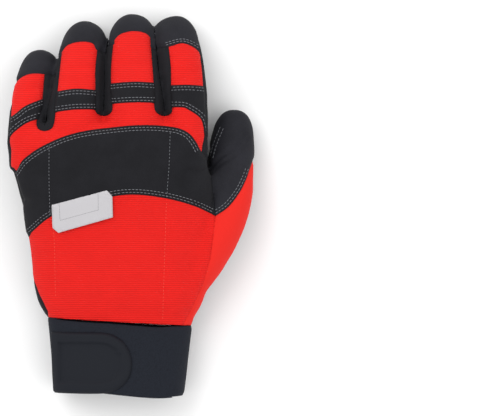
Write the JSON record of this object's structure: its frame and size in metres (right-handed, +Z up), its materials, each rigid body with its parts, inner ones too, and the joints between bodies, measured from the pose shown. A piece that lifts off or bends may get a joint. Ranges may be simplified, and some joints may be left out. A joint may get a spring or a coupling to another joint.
{
  "type": "chainsaw glove",
  "caption": "Left-hand padded work glove lying palm down, with knit back, leather palm, quilted knuckle pad, gussets between the fingers and a short cuff with a strap.",
  "frame": {"origin": "on the floor, under the middle of the glove's bounding box", "axes": "+Y towards the fingertips, +X towards the thumb, +Z up from the palm through the back of the hand"},
  "size_m": [0.1366, 0.2132, 0.0572],
  "materials": {
    "red_knit": "ribbed knit",
    "black_leather": "soft matt suede",
    "tip_leather": "soft matt suede",
    "cuff_foam": "foam-backed cloth",
    "strap_rubber": "moulded, matt",
    "label_woven": "woven"
  },
  "bodies": {
    "root": {"palm_leather": "black_leather", "thumb_leather": "black_leather", "back_knit": "red_knit", "finger_leather_pinky": "black_leather", "finger_leather_ring": "black_leather", "finger_leather_middle": "black_leather", "finger_leather_index": "black_leather", "finger_knit_pinky": "red_knit", "finger_knit_ring": "red_knit", "finger_knit_middle": "red_knit", "finger_knit_index": "red_knit", "thumb_side_knit": "red_knit", "thumb_cap": "tip_leather", "gusset_pinky_ring": "black_leather", "gusset_ring_middle": "black_leather", "gusset_middle_index": "black_leather", "fingertip_cap_pinky": "tip_leather", "fingertip_cap_ring": "tip_leather", "fingertip_cap_middle": "tip_leather", "fingertip_cap_index": "tip_leather", "knuckle_band_pinky": "black_leather", "knuckle_band_ring": "black_leather", "knuckle_band_middle": "black_leather", "knuckle_band_index": "black_leather", "back_pad": "black_leather", "label": "label_woven", "palm_patch_upper": "black_leather", "palm_patch_lower": "black_leather", "tip_patch_pinky": "tip_leather", "tip_patch_ring": "tip_leather", "tip_patch_middle": "tip_leather", "cuff": "cuff_foam", "strap": "strap_rubber"}
  },
  "joints": []
}
